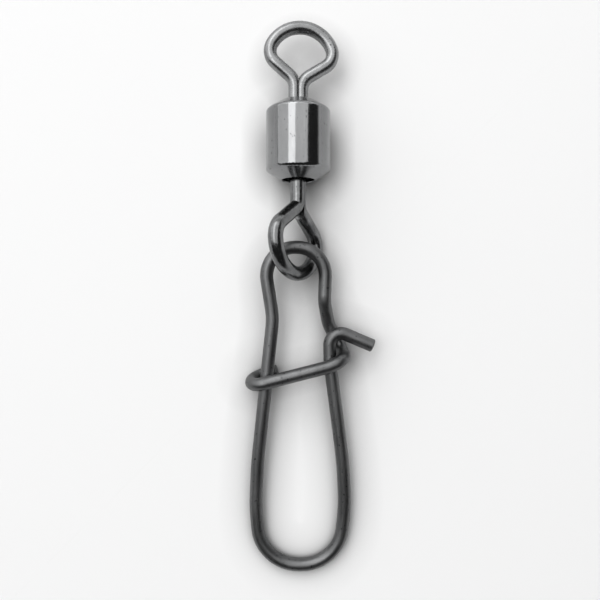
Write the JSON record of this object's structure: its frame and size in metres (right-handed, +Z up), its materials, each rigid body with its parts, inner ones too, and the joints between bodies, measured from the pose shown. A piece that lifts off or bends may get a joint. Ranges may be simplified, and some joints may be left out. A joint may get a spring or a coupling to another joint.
{
  "type": "rolling barrel swivel with snap",
  "caption": "Rolling fishing swivel: a hollow barrel turns between two headed wire eyes, with a bent wire hooked snap hanging on the lower eye.",
  "frame": {"origin": "bottom centre of the whole swivel's box, as it lies on a surface", "axes": "+Y along the swivel from the snap's loop to the upper eye, +Z up off the surface, +X across, to the side that the snap's hooked tail points to"},
  "size_m": [0.009, 0.038, 0.0049],
  "materials": {
    "barrel_plate": "gloss",
    "eye_wire": "gloss",
    "collar_metal": "satin",
    "snap_wire_steel": "satin"
  },
  "bodies": {
    "snap": {"snap_wire": "snap_wire_steel"},
    "lower_eye": {"lower_eye": "eye_wire", "lower_collar": "collar_metal"},
    "barrel": {"barrel": "barrel_plate"},
    "upper_eye": {"upper_eye": "eye_wire", "upper_collar": "collar_metal"}
  },
  "joints": [
    {"name": "snap_swing", "type": "hinge", "parent": "snap", "child": "lower_eye", "pos_m": [-0.00081, 0.00186, 0.0023], "axis": [0, 0, 1], "range_deg": [-90, 90]},
    {"name": "lower_eye_spin", "type": "hinge", "parent": "lower_eye", "child": "barrel", "pos_m": [-0.00081, 0.01081, 0.0022], "axis": [0, 0.9999, -0.0114], "continuous": true},
    {"name": "upper_eye_spin", "type": "hinge", "parent": "barrel", "child": "upper_eye", "pos_m": [-0.00081, 0.01081, 0.0022], "axis": [0, 0.9999, -0.0114], "continuous": true}
  ]
}
